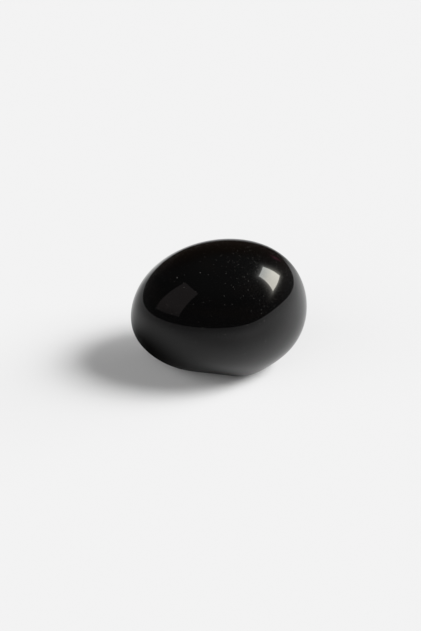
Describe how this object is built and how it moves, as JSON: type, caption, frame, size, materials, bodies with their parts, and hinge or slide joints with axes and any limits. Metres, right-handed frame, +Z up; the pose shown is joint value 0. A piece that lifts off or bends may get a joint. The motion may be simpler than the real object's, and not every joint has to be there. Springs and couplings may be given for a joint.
{
  "type": "polished obsidian egg stone",
  "caption": "Egg-shaped piece of black volcanic glass with a mirror polish, lying on its side on a ground flat.",
  "frame": {"origin": "on the resting plane, under the middle of the stone's outline seen from above", "axes": "+Z up, +X along the long axis towards the blunt end, -Y towards the near side"},
  "size_m": [0.0484, 0.0378, 0.0367],
  "materials": {
    "obsidian": "mirror-polished black volcanic glass"
  },
  "bodies": {
    "root": {"obsidian_egg": "obsidian"}
  },
  "joints": []
}
